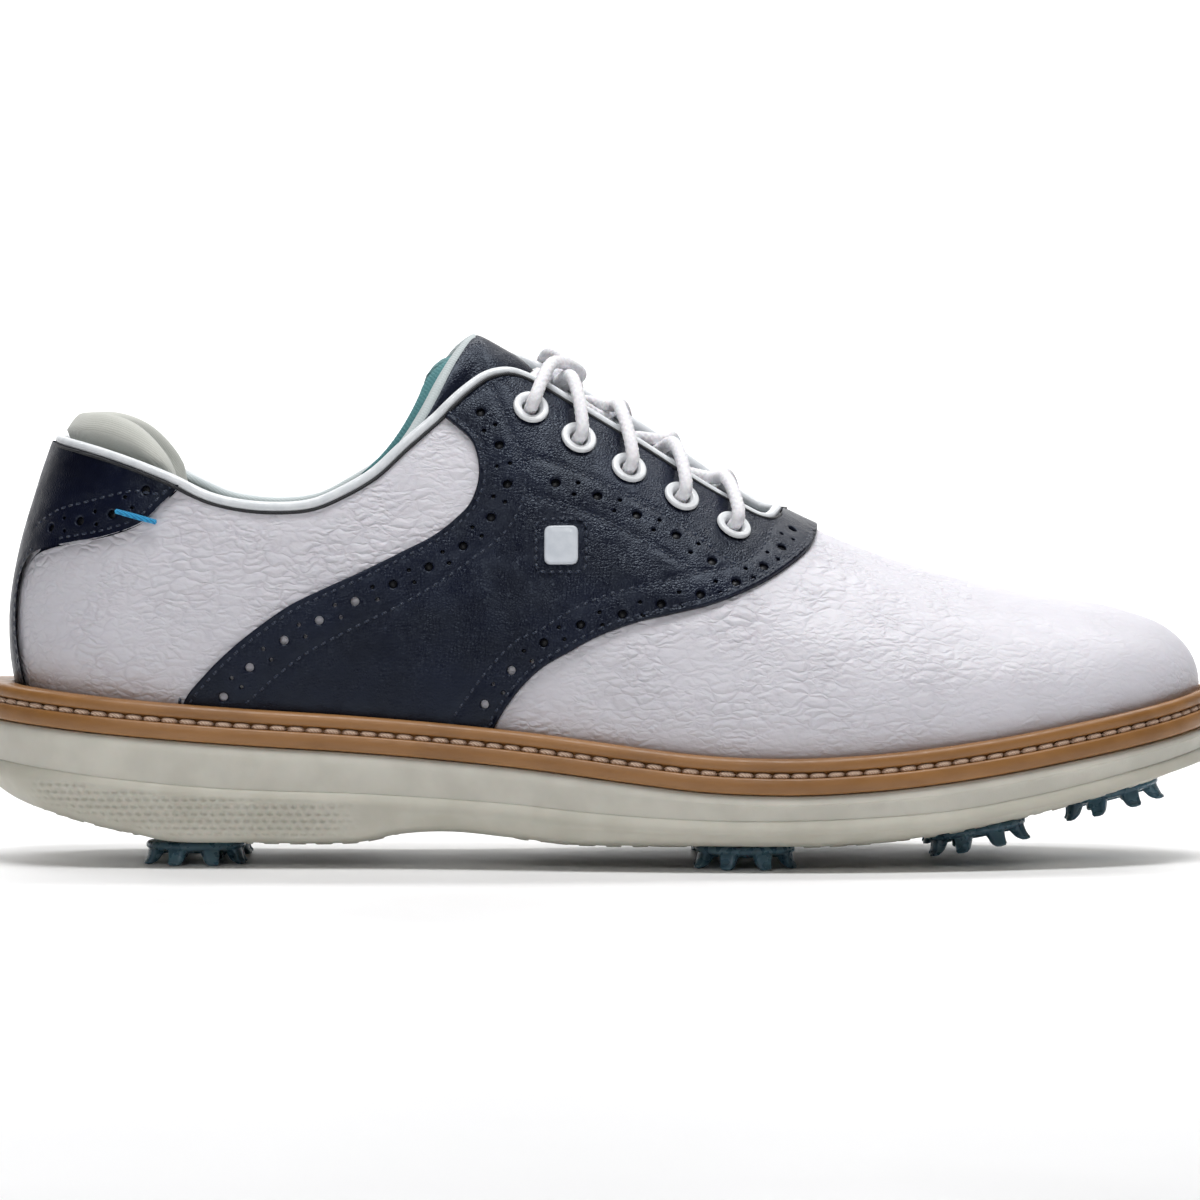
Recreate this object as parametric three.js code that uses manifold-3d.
// A men's saddle golf shoe for the right foot, about US size 9, laced and standing on its cleats.
// Millimetres. +X is the toe, +Z is up, -Y is the outer (lateral) side of the foot.
// The origin is the bottom centre of the shoe's box, on the ground between the cleat tips.
import * as THREE from 'three'
import { mergeVertices } from 'three/addons/utils/BufferGeometryUtils.js'
import Module from 'manifold-3d'

const wasm = await Module()
wasm.setup()

// ---- driving dimensions ------------------------------------------------------------------------

const GAP = 0.35 // clearance kept between pieces that touch on the real shoe
const LEATHER = 1.2 // thickness of one layer of upper leather
const LINING = 0.9
const STIFFENER = 1.0
const LINING_DEPTH = 2 * GAP + STIFFENER // how far inside the last the linings start
const BEAD_HEIGHT = 3.2 // rounded welt bead that meets the upper
const WELT_HEIGHT = 8.4
const FOOTBED_INSET = 4.0

const LACE_RADIUS = 1.55
const EYELET = { bore: 2.75, barrel: 3.1, flange: 4.35, lip: 0.8, hole: 3.6 }
const CLEAT = { radius: 12.2, plate: 2.0, height: 5.6, legs: 8, stem: 5.0, stemHeight: 3.4 }
const RECEPTACLE = { radius: 9.0, height: 4.2, bore: 5.5 }

const RING_STEPS = 36 // samples round the shoe
const PROFILE_STEPS = 7 // samples from the sole up to the top
const SIDES = ['lateral', 'medial']

// ---- colours -----------------------------------------------------------------------------------

const paint = (color, roughness, metalness = 0) =>
  new THREE.MeshStandardMaterial({ color, roughness, metalness })
const WHITE_LEATHER = paint('#e2dfe6', 0.55)
const NAVY_LEATHER = paint('#161c28', 0.4)
const FOAM_WHITE = paint('#d2d1c4', 0.6)
const WELT_TAN = paint('#a87c4e', 0.6)
const STITCH = paint('#d7bea5', 0.8)
const BOARD = paint('#b79a72', 0.85)
const LINING_TEAL = paint('#5c9496', 0.9)
const PAD_GREY = paint('#cdcfca', 0.9)
const PIPING = paint('#cdd8d6', 0.7)
const EYELET_WHITE = paint('#e1e5e8', 0.35)
const LACE_WHITE = paint('#eeecf0', 0.9)
const CLEAT_TEAL = paint('#2d4b5a', 0.3)
const PLASTIC_DARK = paint('#23292d', 0.5)
const STEEL = paint('#8d9196', 0.35, 0.9)
const BRIGHT_BLUE = paint('#1e9bd0', 0.6)

// ---- the last: the surface that the upper is pulled over ---------------------------------------

// One row per station, from the heel round to the toe. The two sides share a row.
// sole: x, y lateral, y medial.  top: x, y lateral, y medial, z.
// pull: outward and upward pull at the sole, outward and downward pull at the top. Where the two
// sides meet along the ridge, the downward pull follows from the slope of the ridge instead.
// flare: how far the sole stands out past the upper.
const STATIONS = [
  { sole: [-141.5, 0.0, 0.0], top: [-129.0, 0.0, 0.0, 112.0], pull: [5.0, 19, 10, 28], flare: 11.3 },
  { sole: [-137.0, -16.5, 16.0], top: [-124.5, -12.5, 12.5, 112.5], pull: [5.0, 19, 9, 28], flare: 10.5 },
  { sole: [-123.0, -27.5, 26.5], top: [-112.5, -21.0, 21.0, 113.5], pull: [4.5, 20, 7, 28], flare: 9.0 },
  { sole: [-102.0, -31.8, 29.8], top: [-97.0, -25.5, 25.0, 115.0], pull: [4.0, 22, 5, 28], flare: 8.0 },
  { sole: [-80.0, -32.6, 28.8], top: [-81.0, -27.0, 26.5, 117.5], pull: [4.0, 24, 4, 28], flare: 7.4 },
  { sole: [-60.0, -33.3, 27.6], top: [-66.5, -25.0, 25.5, 121.0], pull: [4.0, 26, 5, 28], flare: 7.0 },
  { sole: [-44.0, -34.4, 27.2], top: [-53.0, -18.5, 22.5, 126.5], pull: [4.0, 28, 8, 28], flare: 7.0 },
  { sole: [-30.0, -36.4, 28.2], top: [-41.0, -9.0, 16.0, 131.8], pull: [4.0, 30, 14, 20], flare: 7.0 },
  { sole: [-16.0, -39.0, 30.2], top: [-30.0, 4.0, 4.0, 134.5], pull: [4.0, 32, 21, 0], flare: 7.0 },
  { sole: [-2.0, -41.6, 33.4], top: [-19.0, 4.0, 4.0, 127.0], pull: [4.0, 32, 22, 0], flare: 7.0 },
  { sole: [14.0, -44.2, 37.3], top: [-4.0, 4.0, 4.0, 116.2], pull: [4.0, 31, 22, 0], flare: 7.0 },
  { sole: [30.0, -45.6, 41.8], top: [14.0, 4.0, 4.0, 103.8], pull: [4.5, 30, 22, 0], flare: 7.0 },
  { sole: [46.0, -46.4, 45.2], top: [33.0, 4.0, 4.0, 90.2], pull: [5.0, 28, 22, 0], flare: 7.0 },
  { sole: [64.0, -45.6, 46.4], top: [54.0, 4.0, 4.0, 79.4], pull: [5.5, 26, 22, 0], flare: 6.8 },
  { sole: [84.0, -42.6, 45.0], top: [74.0, 4.0, 4.0, 72.0], pull: [5.5, 22, 21, 0], flare: 6.4 },
  { sole: [104.0, -37.4, 41.0], top: [91.0, 4.0, 4.0, 67.0], pull: [5.0, 18, 20, 0], flare: 6.0 },
  { sole: [124.0, -28.8, 34.5], top: [104.0, 4.0, 4.0, 64.4], pull: [4.0, 15, 19, 0], flare: 5.8 },
  { sole: [139.0, -16.0, 24.5], top: [113.0, 4.0, 4.0, 62.8], pull: [3.0, 12, 19, 0], flare: 5.8 },
  { sole: [147.0, 5.0, 5.0], top: [118.0, 4.0, 4.0, 62.2], pull: [1.0, 11, 20, 0], flare: 5.8 },
]
const TOE = STATIONS.length - 1
const AROUND = 2 * TOE
const THROAT_TOP = 8 // from this station forward, the two sides meet along the ridge
const RIDGE_Y = 4.0

/** A smooth curve z(x) through points given in order of x. */
function curveThrough(points) {
  const slope = points.map((point, i) => {
    const a = points[Math.max(i - 1, 0)]
    const b = points[Math.min(i + 1, points.length - 1)]
    return (b[1] - a[1]) / (b[0] - a[0])
  })
  return x => {
    const last = points.length - 2
    let i = 0
    while (i < last && x > points[i + 1][0]) i++
    const [x0, z0] = points[i]
    const [x1, z1] = points[i + 1]
    const h = x1 - x0
    const s = THREE.MathUtils.clamp((x - x0) / h, 0, 1)
    const rise = z0 * (1 + 2 * s) * (1 - s) ** 2 + z1 * s * s * (3 - 2 * s)
    return rise + h * (slope[i] * s * (1 - s) ** 2 + slope[i + 1] * s * s * (s - 1))
  }
}

// Heights along the shoe: where the upper meets the welt, the top of the midsole, the line
// between midsole and outsole, and the underside of the outsole.
const featherZ = curveThrough([
  [-150, 44.2], [-120, 41.2], [-90, 38.8], [-60, 36.9], [-35, 34.9], [-15, 32.9], [10, 29.7],
  [25, 28], [40, 27.3], [55, 27.5], [75, 29], [95, 31.6], [115, 35], [135, 38.8], [152, 42.6],
])
const midsoleTopZ = x => featherZ(x) - WELT_HEIGHT
const grooveZ = curveThrough([
  [-152, 25.8], [-120, 21.8], [-90, 19.2], [-56, 18], [-23, 16], [0, 13.8], [20, 12.6], [40, 12.2],
  [66, 13.1], [87, 14.8], [108, 18.4], [129, 23], [152, 28.6],
])
const bottomZ = curveThrough([
  [-152, 18.6], [-141, 14.8], [-125, 10.6], [-113, 8], [-104, 6.2], [-86, 6], [-60, 6.1], [-48, 8.2],
  [-36, 8.8], [-22, 7.6], [-5, 6.1], [20, 6], [50, 6], [65, 6.7], [78, 8], [92, 10.3], [108, 13.6],
  [120, 16.6], [132, 19.6], [152, 24.6],
])

/** The four control points of the profile at one station, on one side. */
function stationProfile(index) {
  const row = STATIONS[index <= TOE ? index : AROUND - index]
  const side = index <= TOE ? 1 : 2
  return {
    sole: new THREE.Vector3(row.sole[0], row.sole[side], featherZ(row.sole[0])),
    top: new THREE.Vector3(row.top[0], row.top[side], row.top[3]),
    pull: row.pull,
    flare: row.flare,
  }
}

/** The fall from the ridge to the upper control point that lets both sides meet without a crease. */
function ridgeDrop(index, profile) {
  const row = index <= TOE ? index : AROUND - index
  const [rear, front] = [STATIONS[row - 1].top, STATIONS[Math.min(row + 1, TOE)].top]
  const slope = (front[3] - rear[3]) / (front[0] - rear[0])
  return -slope * profile.outward.x * profile.pull[2]
}

const profiles = Array.from({ length: AROUND }, (_, index) => stationProfile(index))
const stationAt = index => profiles[(index + AROUND) % AROUND]
profiles.forEach((profile, index) => {
  const along = stationAt(index + 1).sole.clone().sub(stationAt(index - 1).sole)
  profile.outward = new THREE.Vector3(along.y, -along.x, 0).normalize()
  const [outLow, up, outHigh, down] = profile.pull
  profile.low = profile.sole.clone().addScaledVector(profile.outward, outLow)
  profile.low.z += up
  profile.high = profile.top.clone().addScaledVector(profile.outward, outHigh)
  profile.high.z -= Math.min(index, AROUND - index) < THROAT_TOP ? down : ridgeDrop(index, profile)
})

/** Catmull-Rom interpolation of one property of the stations at position t round the shoe. */
function roundShoe(read, t) {
  const i = Math.floor(t)
  const f = t - i
  const [a, b, c, d] = [-1, 0, 1, 2].map(k => read(stationAt(i + k + AROUND)))
  const weights = [
    -0.5 * f * (1 - f) ** 2,
    (1 + 2 * f) * (1 - f) ** 2 - 0.5 * f * f * (f - 1),
    f * f * (3 - 2 * f) + 0.5 * f * (1 - f) ** 2,
    0.5 * f * f * (f - 1),
  ]
  if (typeof a === 'number') return a * weights[0] + b * weights[1] + c * weights[2] + d * weights[3]
  const sum = new THREE.Vector3()
  return sum.addScaledVector(a, weights[0]).addScaledVector(b, weights[1])
    .addScaledVector(c, weights[2]).addScaledVector(d, weights[3])
}

const wrap = t => ((t % AROUND) + AROUND) % AROUND
const fromHeel = t => Math.min(wrap(t), AROUND - wrap(t))

/** A point of the last: t runs round the shoe from the heel, v up from the sole to the top. */
function lastPoint(tRaw, v) {
  const t = wrap(tRaw)
  const top = roundShoe(p => p.top, t)
  if (fromHeel(t) >= THROAT_TOP - 1) {
    top.y = t <= TOE ? Math.min(top.y, RIDGE_Y) : Math.max(top.y, RIDGE_Y)
  }
  const w = 1 - v
  return roundShoe(p => p.sole, t).multiplyScalar(w ** 3)
    .addScaledVector(roundShoe(p => p.low, t), 3 * v * w * w)
    .addScaledVector(roundShoe(p => p.high, t), 3 * v * v * w)
    .addScaledVector(top, v ** 3)
}

function sideNormal(t, v) {
  const e = 1e-3
  const level = THREE.MathUtils.clamp(v, 0.01, 0.985)
  const along = lastPoint(t + e, level).sub(lastPoint(t - e, level))
  const up = lastPoint(t, level + e).sub(lastPoint(t, level - e))
  return along.cross(up).normalize()
}

/** The outward normal; on the ridge the two sides share it. */
function lastNormal(t, v) {
  const normal = sideNormal(t, v)
  if (v > 0.999 && fromHeel(t) >= THROAT_TOP - 1e-6) normal.add(sideNormal(AROUND - t, v)).normalize()
  return normal
}

const skin = (t, v, offset) => lastPoint(t, v).addScaledVector(lastNormal(t, v), offset)

/** Finds the place on one side of the last that has the given x and z. */
function locate(x, z, side) {
  const solve = (low, high, tooLow) => {
    for (let step = 0; step < 30; step++) {
      const middle = (low + high) / 2
      if (tooLow(middle)) low = middle
      else high = middle
    }
    return (low + high) / 2
  }
  const tAt = v => solve(0, TOE, t => lastPoint(t, v).x < x)
  const v = solve(0, 1, level => lastPoint(tAt(level), level).z < z)
  const t = tAt(v)
  return [side === 'lateral' ? t : AROUND - t, v]
}

// ---- building closed meshes --------------------------------------------------------------------

/** Collects quads and triangles of 3-D points and welds them into one geometry. */
class Facets {
  positions = []

  triangle(...points) {
    for (const point of points) this.positions.push(point.x, point.y, point.z)
  }

  quad(a, b, c, d) {
    this.triangle(a, b, c)
    this.triangle(a, c, d)
  }

  geometry() {
    const soup = new THREE.BufferGeometry()
    soup.setAttribute('position', new THREE.Float32BufferAttribute(this.positions, 3))
    return weld(soup)
  }
}

function weld(geometry) {
  const bare = geometry.clone()
  bare.deleteAttribute('normal')
  bare.deleteAttribute('uv')
  const welded = mergeVertices(bare, 1e-4)
  const kept = []
  const index = welded.index.array
  for (let i = 0; i < index.length; i += 3) {
    const [a, b, c] = index.slice(i, i + 3)
    if (a !== b && b !== c && c !== a) kept.push(a, b, c)
  }
  welded.setIndex(kept)
  return welded
}

function toSolid(geometry) {
  const welded = weld(geometry)
  return new wasm.Manifold(new wasm.Mesh({
    numProp: 3,
    vertProperties: new Float32Array(welded.attributes.position.array),
    triVerts: new Uint32Array(welded.index.array),
  }))
}

/** The geometry of a solid's main body, without any sliver that a cut leaves beside it. */
function toGeometry(solid) {
  const [main] = solid.decompose().sort((a, b) => b.volume() - a.volume())
  const mesh = main.getMesh()
  const geometry = new THREE.BufferGeometry()
  geometry.setAttribute('position', new THREE.BufferAttribute(new Float32Array(mesh.vertProperties), 3))
  geometry.setIndex(new THREE.BufferAttribute(new Uint32Array(mesh.triVerts), 1))
  return weld(geometry)
}

/** Closes a grid of points between an inner and an outer surface. grid(i, j, layer) is a point. */
function thickSheet(columns, rows, grid) {
  const facets = new Facets()
  const at = (i, j, layer) => grid(i, j, layer)
  for (let i = 0; i < columns; i++) {
    for (let j = 0; j < rows; j++) {
      facets.quad(at(i, j, 1), at(i + 1, j, 1), at(i + 1, j + 1, 1), at(i, j + 1, 1))
      facets.quad(at(i, j, 0), at(i, j + 1, 0), at(i + 1, j + 1, 0), at(i + 1, j, 0))
    }
    facets.quad(at(i, 0, 0), at(i + 1, 0, 0), at(i + 1, 0, 1), at(i, 0, 1))
    facets.quad(at(i, rows, 1), at(i + 1, rows, 1), at(i + 1, rows, 0), at(i, rows, 0))
  }
  for (let j = 0; j < rows; j++) {
    facets.quad(at(0, j, 1), at(0, j + 1, 1), at(0, j + 1, 0), at(0, j, 0))
    facets.quad(at(columns, j, 0), at(columns, j + 1, 0), at(columns, j + 1, 1), at(columns, j, 1))
  }
  return facets.geometry()
}

const stepT = i => (i * AROUND) / RING_STEPS

/** The whole upper as one shell between two offsets from the last, open at the sole and the top. */
function upperShell(inner, outer) {
  const facets = new Facets()
  const surface = offset => Array.from({ length: RING_STEPS }, (_, i) =>
    Array.from({ length: PROFILE_STEPS + 1 }, (_, j) => skin(stepT(i), j / PROFILE_STEPS, offset)))
  const [inside, outside] = [surface(inner), surface(outer)]
  const top = PROFILE_STEPS
  for (const layer of [inside, outside]) {
    for (let i = RING_STEPS / 2 + 1; i < RING_STEPS; i++) {
      if (fromHeel(stepT(i)) >= THROAT_TOP - 1e-6) layer[i][top] = layer[RING_STEPS - i][top]
    }
  }
  for (let i = 0; i < RING_STEPS; i++) {
    const k = (i + 1) % RING_STEPS
    for (let j = 0; j < top; j++) {
      facets.quad(outside[i][j], outside[k][j], outside[k][j + 1], outside[i][j + 1])
      facets.quad(inside[i][j], inside[i][j + 1], inside[k][j + 1], inside[k][j])
    }
    facets.quad(inside[i][0], inside[k][0], outside[k][0], outside[i][0])
    const middle = (i + 0.5) * AROUND / RING_STEPS
    if (fromHeel(middle) < THROAT_TOP) {
      facets.quad(outside[i][top], outside[k][top], inside[k][top], inside[i][top])
    }
  }
  return toSolid(facets.geometry())
}

const FAR = 90 // half the span of a cutter that passes through the whole shoe

/** A prism with the side-view outline points, running across the shoe from y0 to y1. */
function sidePrism(outline, y0 = -FAR, y1 = FAR) {
  const shape = new THREE.Shape(outline.map(([x, z]) => new THREE.Vector2(x, z)))
  const prism = new THREE.ExtrudeGeometry(shape, { depth: y1 - y0, bevelEnabled: false })
  prism.rotateX(Math.PI / 2)
  prism.translate(0, y1, 0)
  return toSolid(prism)
}

/** Places a geometry that was built about +Y so that +Y becomes the given direction. */
function aim(geometry, origin, direction) {
  const turn = new THREE.Quaternion().setFromUnitVectors(new THREE.Vector3(0, 1, 0), direction)
  return geometry.applyQuaternion(turn).translate(origin.x, origin.y, origin.z)
}

const planPoint = (t, reach) => {
  const outward = roundShoe(p => p.outward, t).normalize()
  return roundShoe(p => p.sole, t).addScaledVector(outward, reach)
}

const flareAt = t => roundShoe(p => p.flare, t)

/** A ring that follows the edge of the sole. section lists [reach, height] about the feather line. */
function soleRing(section) {
  const facets = new Facets()
  const point = (i, k) => {
    const t = stepT(i % RING_STEPS)
    const [reach, height] = section[k % section.length]
    const place = planPoint(t, reach(t))
    place.z = featherZ(place.x) + height
    return place
  }
  for (let i = 0; i < RING_STEPS; i++) {
    for (let k = 0; k < section.length; k++) {
      facets.quad(point(i, k), point(i + 1, k), point(i + 1, k + 1), point(i, k + 1))
    }
  }
  return facets.geometry()
}

/** A full slab of the sole. rings list [reach(t), z(x)] from the bottom up. */
function soleSlab(rings) {
  const facets = new Facets()
  const point = (i, k) => {
    const t = stepT(wrapIndex(i))
    const place = planPoint(t, rings[k][0](t))
    place.z = rings[k][1](place.x)
    return place
  }
  for (let i = 0; i < RING_STEPS; i++) {
    for (let k = 0; k < rings.length - 1; k++) {
      facets.quad(point(i, k), point(i + 1, k), point(i + 1, k + 1), point(i, k + 1))
    }
  }
  const top = rings.length - 1
  for (let i = 0; i < RING_STEPS / 2; i++) {
    facets.quad(point(i, top), point(i + 1, top), point(-i - 1, top), point(-i, top))
    facets.quad(point(i, 0), point(-i, 0), point(-i - 1, 0), point(i + 1, 0))
  }
  return facets.geometry()
}

const wrapIndex = i => ((i % RING_STEPS) + RING_STEPS) % RING_STEPS

/** A round cord along a list of points. */
function cordGeometry(points, radius, steps, sides) {
  const section = new THREE.Shape(Array.from({ length: sides }, (_, k) => {
    const angle = (k / sides) * 2 * Math.PI
    return new THREE.Vector2(radius * Math.cos(angle), radius * Math.sin(angle))
  }))
  const path = new THREE.CatmullRomCurve3(points, false, 'centripetal')
  return weld(new THREE.ExtrudeGeometry(section, { steps, bevelEnabled: false, extrudePath: path }))
}

const shoe = new THREE.Group()

function addPiece(name, geometry, material) {
  const mesh = new THREE.Mesh(geometry, material)
  mesh.name = name
  shoe.add(mesh)
  return mesh
}

// ---- outlines on the side of the upper, [x, z] --------------------------------------------------

const LOW = 10 // below every edge of the upper
const HIGH = 150
const collarLines = {
  lateral: [
    [-160, 102], [-133, 102.2], [-123, 99.8], [-113.5, 96.8], [-104, 93.1], [-95, 89], [-87, 87.2],
    [-78, 86.6], [-69.5, 87.4], [-61.7, 90.7], [-54.6, 94.9], [-47.6, 101.3], [-39, 108.6],
    [-32, 114.6], [-27.2, 117.8],
  ],
  medial: [
    [-160, 102], [-133, 102.2], [-123, 99.8], [-113.5, 96.8], [-104, 92.8], [-95, 88.4], [-87, 86.6],
    [-78, 86.2], [-69.5, 87.6], [-61.7, 91.6], [-54.6, 96.2], [-47.6, 102.8], [-38, 111.2],
    [-31, 117.2], [-26, 120.6],
  ],
}
// The throat lies a little towards the outer side of the foot, so its inner edge stands higher.
const throatLines = {
  lateral: [
    [-23.2, 118.8], [-18.6, 117.1], [-6.8, 110], [12, 98.4], [23.3, 90.9], [32.5, 85.6], [38.5, 82.5],
    [42, 82],
  ],
  medial: [
    [-22, 121.6], [-17.8, 120], [-6.4, 113], [12, 102.2], [23.3, 94.4], [32.5, 88.1], [40, 84.2],
    [43, 83.3],
  ],
}
const upperOutline = side => [
  ...collarLines[side], throatLines[side][0], [-21.9, HIGH], [170, HIGH], [170, LOW], [-160, LOW],
]
const saddleRear = [
  [-102, LOW], [-101, 40], [-95.9, 47], [-88.7, 54], [-82, 59.2], [-75, 63.9], [-67.8, 67.4],
  [-58.8, 71.4], [-47.7, 76.6], [-40.2, 80.3], [-34.8, 84.4], [-31.4, 88], [-29.1, 94.8], [-30.9, 103.3],
  [-33.3, 106.8], [-37.5, 110.5],
]
const saddleFront = [
  [53.2, HIGH], [52.6, 79.2], [51, 76.2], [44.4, 71.3], [37.5, 67.5], [26.9, 63.6], [16.2, 61.2],
  [9.1, 59.6], [0, 56.4], [-7.7, 52.3], [-14, 48.6], [-19.6, 43.1], [-25.4, 34.2], [-30, LOW],
]
const saddleOutline = [...saddleRear, [-37.5, HIGH], ...saddleFront]
const vampSeam = [[-46, LOW], [-30, 42], [-8, 60], [22, 71], [36, 76.4], [42, 79.3], [44.4, 81.4], [44.4, HIGH]]
const counterOutline = [
  [-160, LOW], [-160, HIGH], [-101.6, HIGH], [-102.5, 92.4], [-105.8, 88.8], [-110.8, 83.5],
  [-118.5, 80.3], [-132.2, 77.2], [-136.8, 75.2], [-139.1, 72], [-140.6, 66], [-140.9, 58],
  [-139.8, 49], [-138.4, 40], [-138.4, LOW],
]
const aheadOf = (line, gap) => [...line.map(([x, z]) => [x + gap, z]), [170, HIGH], [170, LOW]]
const behind = (line, gap) => [...line.map(([x, z]) => [x - gap, z]), [-170, HIGH], [-170, LOW]]

// ---- eyelets -------------------------------------------------------------------------------------

const eyeletPlaces = {
  lateral: [[-17.6, 109.9], [-6.1, 102.4], [6.1, 95], [18.8, 87.9], [31.4, 80.7]],
  medial: [[-17, 112.4], [-5.2, 104.7], [7.4, 97.1], [20.1, 89.2], [32.8, 82]],
}

/** Place and outward direction of every eyelet, by side and from the top of the throat down. */
const eyelets = Object.fromEntries(SIDES.map(side => [side, eyeletPlaces[side].map(([x, z]) => {
  const [t, v] = locate(x, z, side)
  return { t, v, place: lastPoint(t, v), normal: lastNormal(t, v) }
})]))

const EYELET_BACK = -(LINING_DEPTH + LINING + GAP)
const EYELET_FRONT = 2 * LEATHER + 2 * GAP

function eyeletGeometry() {
  const { bore, barrel, flange, lip } = EYELET
  const profile = [
    [bore, EYELET_BACK], [barrel, EYELET_BACK], [barrel, EYELET_FRONT], [flange, EYELET_FRONT],
    [flange - 0.6, EYELET_FRONT + lip], [bore, EYELET_FRONT + lip], [bore, EYELET_BACK],
  ]
  return weld(new THREE.LatheGeometry(profile.map(([r, y]) => new THREE.Vector2(r, y)), 8))
}

function eyeletDrill(side) {
  return eyelets[side].map(({ place, normal }) =>
    toSolid(aim(new THREE.CylinderGeometry(EYELET.hole, EYELET.hole, 20, 8), place, normal)))
}

const drills = Object.fromEntries(SIDES.map(side => [side, eyeletDrill(side)]))

function drill(solid, sides) {
  return sides.flatMap(side => drills[side]).reduce((cut, hole) => cut.subtract(hole), solid)
}

// ---- the upper -----------------------------------------------------------------------------------

const HALF_SEAM = 0.2
const halfSpace = { lateral: [-FAR, -HALF_SEAM], medial: [HALF_SEAM, FAR] }
const centreHalf = { lateral: [-FAR, 0], medial: [0, FAR] }
const ridgeHalf = { lateral: [-FAR, RIDGE_Y - HALF_SEAM], medial: [RIDGE_Y + HALF_SEAM, FAR] }

/** Cuts a shell down to the collar line and opens the throat, square to the surface. */
function trimTop(shell) {
  const edges = SIDES.map(side => {
    const edge = throatLines[side].map(([x, z]) => locate(x, z, 'lateral'))
    return [[THROAT_TOP - 0.4, edge[0][1] - 0.02], ...edge]
  })
  const rows = 6
  const opening = thickSheet(edges[0].length - 1, rows, (i, j, layer) => {
    const across = (j / rows) * 2 - 1
    const [near, far] = across <= 0 ? edges : [edges[1], edges[0]]
    const middle = (near[i][0] + far[i][0]) / 2
    const t = middle + (near[i][0] - middle) * Math.abs(across)
    const v = 1 - (1 - near[i][1]) * Math.abs(across)
    return skin(across <= 0 ? t : AROUND - t, v, layer ? 6 : -6)
  })
  const [outer, inner] = SIDES.map(side => sidePrism(upperOutline(side), ...centreHalf[side]))
  return shell.intersect(outer.add(inner)).subtract(toSolid(opening))
}

function buildUpper() {
  const base = trimTop(upperShell(0, LEATHER))
  addPiece('vamp', toGeometry(base.intersect(sidePrism(aheadOf(vampSeam, HALF_SEAM)))), WHITE_LEATHER)
  const overlay = trimTop(upperShell(LEATHER + GAP, 2 * LEATHER + GAP))
  for (const side of SIDES) {
    const quarter = base.intersect(sidePrism(behind(vampSeam, HALF_SEAM), ...halfSpace[side]))
    addPiece(`quarter_${side}`, toGeometry(drill(quarter, [side])), WHITE_LEATHER)
    const saddle = overlay.intersect(sidePrism(saddleOutline, ...ridgeHalf[side]))
    addPiece(`saddle_${side}`, toGeometry(drill(saddle, [side])), NAVY_LEATHER)
  }
  addPiece('heel_counter_cover', toGeometry(overlay.intersect(sidePrism(counterOutline))), NAVY_LEATHER)
}

function buildInnerUpper() {
  const stiff = upperShell(-GAP - STIFFENER, -GAP)
  const heelCup = [[-160, LOW], [-160, 84], [-118, 84], [-88, 66], [-72, LOW]]
  const toeCap = [[126, LOW], [110, 44], [104, HIGH], [170, HIGH], [170, LOW]]
  addPiece('heel_stiffener', toGeometry(stiff.intersect(sidePrism(heelCup))), BOARD)
  addPiece('toe_puff', toGeometry(stiff.intersect(sidePrism(toeCap))), BOARD)
  const lining = trimTop(upperShell(-LINING_DEPTH - LINING, -LINING_DEPTH))
  const vampLining = lining.intersect(sidePrism(aheadOf(vampSeam, 6)))
  const quarterLining = drill(lining.intersect(sidePrism(behind(vampSeam, -5.5))), SIDES)
  addPiece('vamp_lining', toGeometry(vampLining), PAD_GREY)
  addPiece('quarter_lining', toGeometry(quarterLining), LINING_TEAL)
}

/** The rolled pad inside the collar, which stands above the edge round the back of the heel. */
function buildCollarPad() {
  const columns = 22
  const rows = 4
  const reach = 5.4 // stations to either side of the heel
  const start = 3.9
  const proudReach = 2.7 // how far the part that stands above the edge goes
  const grid = (i, j, layer) => {
    const across = (i / columns) * 2 - 1
    const t = across * reach
    const rise = Math.cos((across * Math.PI) / 2) ** 2
    const thick = 2.2 + 5.3 * rise
    const crown = layer * 0.4 + (1 - layer) * (thick - (j % rows === 0 ? 0.35 * thick : 0))
    const proud = Math.sqrt(Math.max(0, 1 - (Math.abs(t) / proudReach) ** 6))
    const bottom = 68 + 3 * (1 - rise)
    const top = 84.5 + 17 * THREE.MathUtils.smoothstep(rise, 0.1, 0.9) + 8.4 * proud
    const v = heightToLevel(t, bottom + ((top - bottom) * j) / rows)
    return skin(t, v, -start - crown)
  }
  addPiece('heel_collar_pad', thickSheet(columns, rows, grid), PAD_GREY)
}

function heightToLevel(t, z) {
  let low = 0
  let high = 1
  for (let step = 0; step < 30; step++) {
    const middle = (low + high) / 2
    if (lastPoint(t, middle).z < z) low = middle
    else high = middle
  }
  return (low + high) / 2
}

/** The piping that binds the collar and both throat edges in one run. */
function buildCollarBinding() {
  const radius = 1.15
  const stand = 2.1 // how far the piping stands clear of the cut edges
  const line = side => [
    ...throatLines[side].slice(0, -2).toReversed(), ...collarLines[side].slice(2).toReversed(),
  ]
  const edge = side => line(side).map(([x, z]) => {
    const [t, v] = locate(x, z, side)
    const up = lastPoint(t, v + 0.01).sub(lastPoint(t, v)).normalize()
    return skin(t, v, -0.2).addScaledVector(up, stand)
  })
  const [lateral, medial] = SIDES.map(edge)
  const heel = skin(0, heightToLevel(0, 102.3), -0.2).add(new THREE.Vector3(0, 0, stand))
  const run = [...lateral, heel, ...medial.toReversed()]
  addPiece('collar_binding', cordGeometry(run, radius, 64, 6), PIPING)
}

// ---- the tongue ----------------------------------------------------------------------------------

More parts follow.
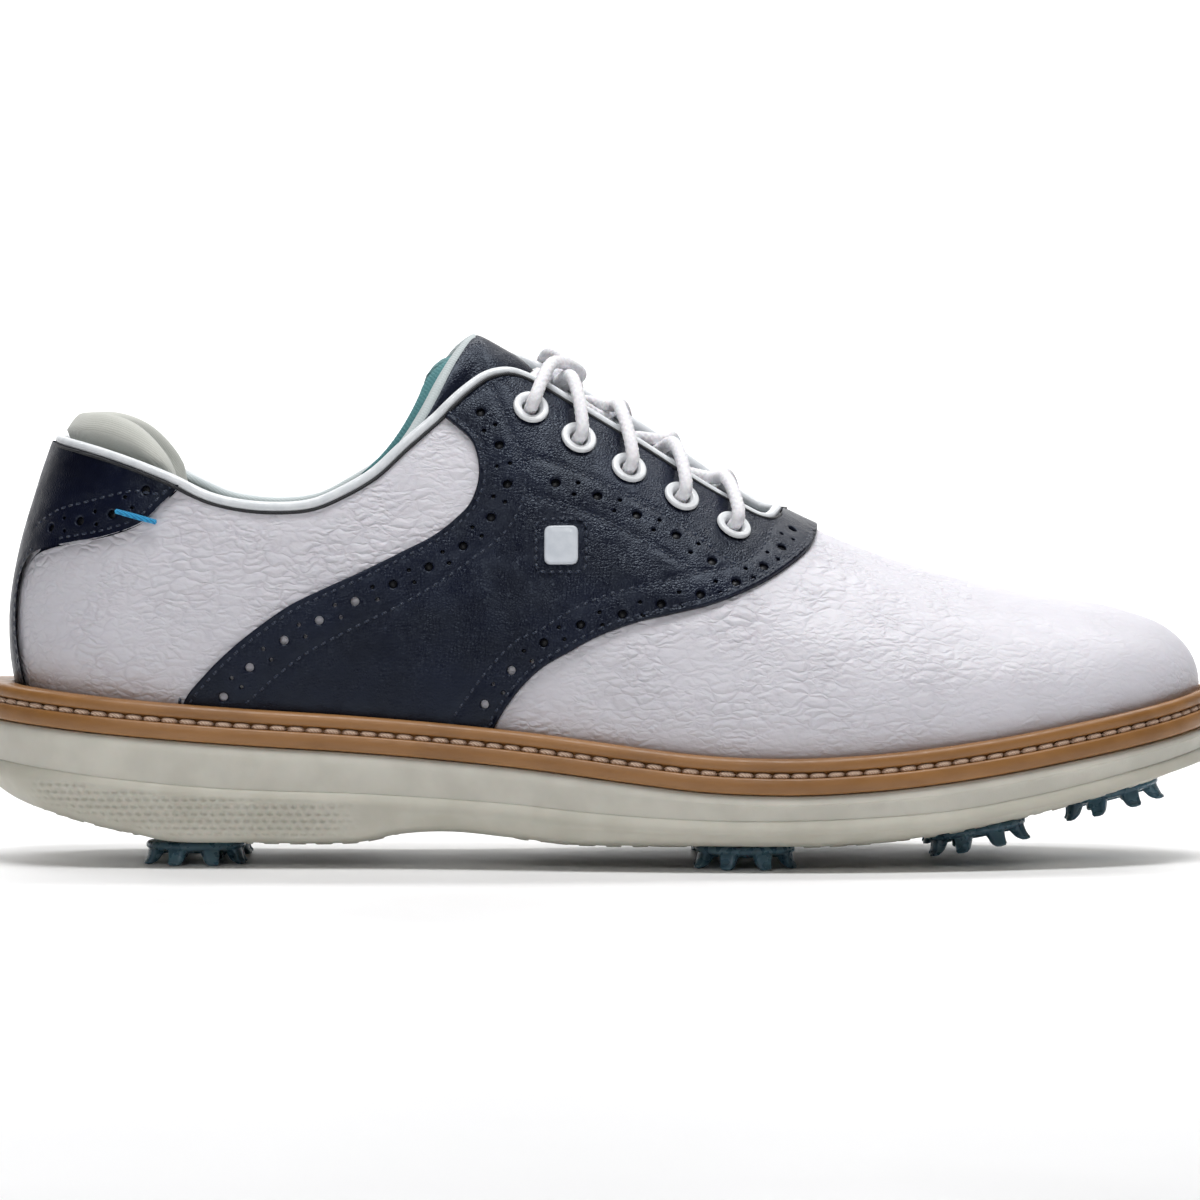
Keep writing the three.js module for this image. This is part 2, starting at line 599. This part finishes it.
const TONGUE_TOP = -8.0 // offset of the tongue's outer face from the last
const TONGUE_LIFT = 3.0 // how far its rear end rises out of the throat
const TONGUE_FRONT = 12.6 // station of the stitched front end
const tonguePlace = (along, across) => {
  const rear = 8.15 - 1.25 * across * across
  const t = TONGUE_FRONT + (rear - TONGUE_FRONT) * along
  const drop = 0.22 + 0.06 * along
  return [across <= 0 ? t : AROUND - t, 1 - drop * Math.abs(across)]
}

const tongueOffset = (along, depth) =>
  TONGUE_TOP - depth + TONGUE_LIFT * THREE.MathUtils.smoothstep(along, 0.82, 1)

function buildTongue() {
  const columns = 14
  const rows = 6
  const layers = [
    ['tongue_leather', 0, 1.2, NAVY_LEATHER],
    ['tongue_foam', 1.8, 4.8, PAD_GREY],
    ['tongue_lining', 5.3, 6.2, LINING_TEAL],
  ]
  for (const [name, near, far, material] of layers) {
    const grid = (i, j, layer) => {
      const along = 1 - i / columns
      const [t, v] = tonguePlace(along, (j / rows) * 2 - 1)
      return skin(t, v, tongueOffset(along, layer ? near : far))
    }
    addPiece(name, thickSheet(columns, rows, grid), material)
  }
  const stand = 1.075
  const rim = Array.from({ length: 9 }, (_, k) => {
    const [t, v] = tonguePlace(stand, (k / 8) * 2 - 1)
    return skin(t, v, tongueOffset(stand, 2.9))
  })
  addPiece('tongue_binding', cordGeometry(rim, 2.0, 14, 6), PIPING)
}

// ---- the lace ------------------------------------------------------------------------------------

const LACE_INSIDE = -5.3 // the lace under a flap, between the lining and the tongue
const LACE_OUTSIDE = 6.3 // the lace over a flap
const LACE_LEAN = 5.5 // how far toward the toe a crossing lies from the eyelets it joins
const HUG = -6.0 // a loose end lying against the lining

const other = side => (side === 'lateral' ? 'medial' : 'lateral')
const onSide = (t, side) => (side === 'lateral' ? t : AROUND - t)

/** The station at which the ridge has the given x. */
function ridgeStation(x) {
  let low = THROAT_TOP
  let high = TOE
  for (let step = 0; step < 30; step++) {
    const middle = (low + high) / 2
    if (lastPoint(middle, 1).x < x) low = middle
    else high = middle
  }
  return low
}

/** A point part of the way from an eyelet to a crossing on the ridge, at an offset from the last. */
function between(side, row, crossing, part, offset) {
  const { t, v } = eyelets[side][row]
  const station = fromHeel(t) + (crossing - fromHeel(t)) * part
  return skin(onSide(station, side), v + (1 - v) * part, offset)
}

/** Out through an eyelet and over the flap edge towards a crossing. */
function climb(side, row, crossing) {
  const { place, normal } = eyelets[side][row]
  const through = [LACE_INSIDE, LACE_INSIDE + 2.2, 2.6, LACE_OUTSIDE]
    .map(offset => place.clone().addScaledVector(normal, offset))
  return [...through, between(side, row, crossing, 0.42, LACE_OUTSIDE)]
}

/** From a crossing under the flap to the eyelet in the given row on that side. */
function dive(side, row, crossing) {
  return [
    between(side, row, crossing, 0.66, -3.2),
    between(side, row, crossing, 0.42, LACE_INSIDE),
  ]
}

const crossingStation = row => {
  const [x0, x1] = [eyeletPlaces.lateral[row][0], eyeletPlaces.lateral[row + 1][0]]
  return ridgeStation((x0 + x1) / 2 + LACE_LEAN)
}

/** Under the far flap from the last crossing, down the lining and along the footbed. */
function tuckedEnd(side, crossing) {
  const toward = side === 'lateral' ? 1 : -1
  const start = onSide(crossing, side)
  const places = [[-0.1, 0.93, -3.4], [-0.25, 0.84, LACE_INSIDE - 0.2], [-0.35, 0.7, LACE_INSIDE - 0.3],
    [-0.3, 0.5, HUG], [0.1, 0.32, HUG], [0.9, 0.2, HUG], [1.9, 0.16, HUG - 0.5], [2.8, 0.16, HUG - 1.5],
    [3.5, 0.16, HUG - 2.5]]
  return places.map(([shift, v, offset]) => skin(start + shift * toward, v, offset))
}

function strand(firstSide) {
  const height = firstSide === 'lateral' ? 3.2 : -1.0
  const points = []
  let side = firstSide
  for (let row = eyeletPlaces[side].length - 1; row > 0; row--) {
    const crossing = crossingStation(row - 1)
    points.push(...climb(side, row, crossing), skin(crossing, 1, height))
    side = other(side)
    points.push(...dive(side, row - 1, crossing))
  }
  const last = ridgeStation(firstSide === 'lateral' ? -6.5 : -9.5)
  points.push(...climb(side, 0, last), skin(last, 1, 7.2))
  const end = tuckedEnd(other(side), last)
  return { points: [...points, ...end], end }
}

function buildLace() {
  const [lateral, medial] = SIDES.map(strand)
  const front = fromHeel(eyelets.lateral.at(-1).t)
  const [nearBar, farBar] = SIDES.map(side => between(side, 4, front, 0.5, LACE_INSIDE))
  const bar = [nearBar, skin(front, 1, LACE_INSIDE + 0.4), farBar]
  const route = [...lateral.points.toReversed(), ...bar, ...medial.points]
  addPiece('lace', cordGeometry(route, LACE_RADIUS, 120, 8), LACE_WHITE)
  const ends = [lateral, medial]
  ends.forEach(({ end }, k) => {
    const tip = end.at(-1)
    const direction = tip.clone().sub(end.at(-2)).normalize()
    const aglet = aim(new THREE.CylinderGeometry(1.7, 1.9, 20, 8), new THREE.Vector3(), direction)
    const mesh = addPiece(`aglet_${SIDES[1 - k]}`, weld(aglet), PLASTIC_DARK)
    mesh.position.copy(tip).addScaledVector(direction, 10 + GAP)
  })
}

// ---- the sole ------------------------------------------------------------------------------------

// Every cleat: plan position, height of its plate's upper face and slope of the sole there.
const CLEAT_SLOPE = THREE.MathUtils.degToRad(10.5)
const TOE_SLOPE = THREE.MathUtils.degToRad(14.2)
const cleats = [
  { name: 'heel_lateral', x: -99, y: -17, slope: 0 },
  { name: 'heel_medial', x: -99, y: 16, slope: 0 },
  { name: 'ball_lateral', x: 35.3, y: -31, slope: 0 },
  { name: 'ball_medial', x: 35.3, y: 27, slope: 0 },
  { name: 'front_lateral', x: 92, y: -18, slope: CLEAT_SLOPE },
  { name: 'front_medial', x: 92, y: 24, slope: CLEAT_SLOPE },
  { name: 'toe', x: 126, y: 3, slope: TOE_SLOPE },
]
const cleatTop = ({ x, slope }) => (slope === 0 ? CLEAT.height : bottomZ(x) - GAP - 0.4)
const cleatUp = ({ slope }) => new THREE.Vector3(-Math.sin(slope), 0, Math.cos(slope))

function cleatGeometry() {
  const { radius, plate, height, legs, stem, stemHeight } = CLEAT
  const profile = [[0, -plate], [radius, -plate], [radius - 0.6, 0], [stem, 0], [stem - 0.4, stemHeight],
    [0, stemHeight]]
  const sides = 2 * legs
  let solid = toSolid(new THREE.LatheGeometry(profile.map(([r, y]) => new THREE.Vector2(r, y)), sides))
  for (let k = 0; k < legs; k++) {
    const leg = new THREE.CylinderGeometry(2.2, 1.5, height - plate + 1, 4)
    leg.rotateY(Math.PI / 4)
    leg.translate(radius - 2.6, -(height + plate - 1) / 2, 0)
    leg.rotateY(((k + 0.5) * 2 * Math.PI) / legs)
    solid = solid.add(toSolid(leg))
  }
  return toGeometry(solid)
}

function receptacleGeometry() {
  const { radius, height, bore } = RECEPTACLE
  const profile = [[0, height], [radius, height], [radius, 0.1], [bore, 0.1], [bore, height - 0.5],
    [0, height - 0.5]]
  return weld(new THREE.LatheGeometry(profile.map(([r, y]) => new THREE.Vector2(r, y)).reverse(), 10))
}

function buildSole() {
  const edge = inset => t => flareAt(t) - inset
  const inward = inset => () => -inset
  let outsole = toSolid(soleSlab([
    [edge(7.5), bottomZ], [edge(3.0), x => bottomZ(x) + 1.4], [edge(1.0), x => bottomZ(x) + 4.4],
    [edge(0.7), x => grooveZ(x) - GAP],
  ]))
  for (const cleat of cleats) {
    const up = cleatUp(cleat)
    const seat = new THREE.Vector3(cleat.x, cleat.y, cleatTop(cleat))
    const recess = new THREE.CylinderGeometry(CLEAT.radius + 0.6, CLEAT.radius + 0.6, 6, 16)
    recess.translate(0, GAP - 3, 0)
    const pocketDepth = RECEPTACLE.height + 0.7
    const pocketRadius = RECEPTACLE.radius + 0.5
    const pocket = new THREE.CylinderGeometry(pocketRadius, pocketRadius, pocketDepth, 10)
    pocket.translate(0, pocketDepth / 2, 0)
    outsole = outsole.subtract(toSolid(aim(recess, seat, up))).subtract(toSolid(aim(pocket, seat, up)))
    const fitting = addPiece(`cleat_receptacle_${cleat.name}`, receptacleGeometry(), PLASTIC_DARK)
    fitting.position.copy(seat).addScaledVector(up, GAP)
    fitting.quaternion.setFromUnitVectors(new THREE.Vector3(0, 1, 0), up)
    const spike = addPiece(`cleat_${cleat.name}`, cleatGeometry(), CLEAT_TEAL)
    spike.position.copy(seat)
    spike.quaternion.copy(fitting.quaternion)
  }
  addPiece('outsole', toGeometry(outsole), FOAM_WHITE)
  addPiece('midsole', soleSlab([
    [edge(0.7), x => grooveZ(x)], [edge(0), x => (grooveZ(x) + midsoleTopZ(x)) / 2],
    [edge(0.9), x => midsoleTopZ(x) - GAP],
  ]), FOAM_WHITE)
  const bead = 2 * LEATHER + 2 * GAP
  addPiece('welt', soleRing([
    [inward(FOOTBED_INSET - 0.5), -WELT_HEIGHT], [edge(0.3), -WELT_HEIGHT], [edge(0.3), -4.6],
    [edge(2.2), -4.6], [edge(2.2), -BEAD_HEIGHT], [edge(0.9), -BEAD_HEIGHT], [edge(0.9), -0.9],
    [edge(2.0), 0], [() => bead, 0], [() => bead, -1.5], [inward(FOOTBED_INSET - 0.5), -1.5],
  ]), WELT_TAN)
  addPiece('welt_stitching', soleRing([
    [edge(1.8), -4.2], [edge(0.9), -3.9], [edge(1.8), -3.6],
  ]), STITCH)
  const board = inward(FOOTBED_INSET)
  addPiece('insole_board', soleSlab([
    [board, x => featherZ(x) - 6.6], [board, x => featherZ(x) - 4.6],
  ]), BOARD)
  addPiece('footbed', soleSlab([
    [board, x => featherZ(x) - 4.6 + GAP], [inward(FOOTBED_INSET + 0.3), x => featherZ(x) + 1.4],
  ]), LINING_TEAL)
  buildShank()
}

/** The steel strip that stiffens the arch, between the insole board and the midsole. */
function buildShank() {
  const [rear, front, half, bottom] = [-85, 12, 8, WELT_HEIGHT - GAP]
  const steps = 10
  const grid = (i, j, layer) => {
    const x = rear + ((front - rear) * i) / steps
    return new THREE.Vector3(x, half * (2 * j - 1), featherZ(x) - bottom + layer * 1.1)
  }
  addPiece('shank', thickSheet(steps, 1, grid), STEEL)
}

// ---- small trim ----------------------------------------------------------------------------------

function roundedPlate(width, height, corner, thickness) {
  const shape = new THREE.Shape()
  const [w, h] = [width / 2, height / 2]
  shape.moveTo(-w + corner, -h)
  for (const [x, y, from] of [[w, -h, -0.5], [w, h, 0], [-w, h, 0.5], [-w, -h, 1]]) {
    const cx = x - Math.sign(x) * corner
    const cy = y - Math.sign(y) * corner
    shape.absarc(cx, cy, corner, from * Math.PI, (from + 0.5) * Math.PI)
  }
  return weld(new THREE.ExtrudeGeometry(shape, { depth: thickness, bevelEnabled: false, curveSegments: 1 }))
}

/** Fixes a flat plate, built in XY, on the lateral side at [x, z] and turns it in its own plane. */
function fixPlate(name, geometry, [x, z], offset, turn, material) {
  const [t, v] = locate(x, z, 'lateral')
  const normal = lastNormal(t, v)
  const along = new THREE.Vector3(1, 0, 0).projectOnPlane(normal).normalize()
  const basis = new THREE.Matrix4().makeBasis(along, normal.clone().cross(along), normal)
  const mesh = addPiece(name, geometry, material)
  mesh.quaternion.setFromRotationMatrix(basis)
  mesh.rotateZ(turn)
  mesh.position.copy(lastPoint(t, v)).addScaledVector(normal, offset)
}

function buildTrim() {
  const surface = 2 * LEATHER + 2 * GAP
  fixPlate('side_badge', roundedPlate(8.2, 9.8, 1.6, 0.9), [-9.3, 77.6], surface + 0.3, 0, EYELET_WHITE)
  const tack = roundedPlate(10.8, 1.6, 0.5, 0.8)
  fixPlate('heel_bar_tack', tack, [-112, 84.7], surface + 0.3, -0.3, BRIGHT_BLUE)
}

function buildEyelets() {
  for (const side of SIDES) {
    eyelets[side].forEach(({ place, normal }, row) => {
      const mesh = addPiece(`eyelet_${side}_${row + 1}`, eyeletGeometry(), EYELET_WHITE)
      mesh.position.copy(place)
      mesh.quaternion.setFromUnitVectors(new THREE.Vector3(0, 1, 0), normal)
    })
  }
}

buildSole()
buildUpper()
buildInnerUpper()
buildCollarPad()
buildCollarBinding()
buildTongue()
buildEyelets()
buildLace()
buildTrim()

export default shoe
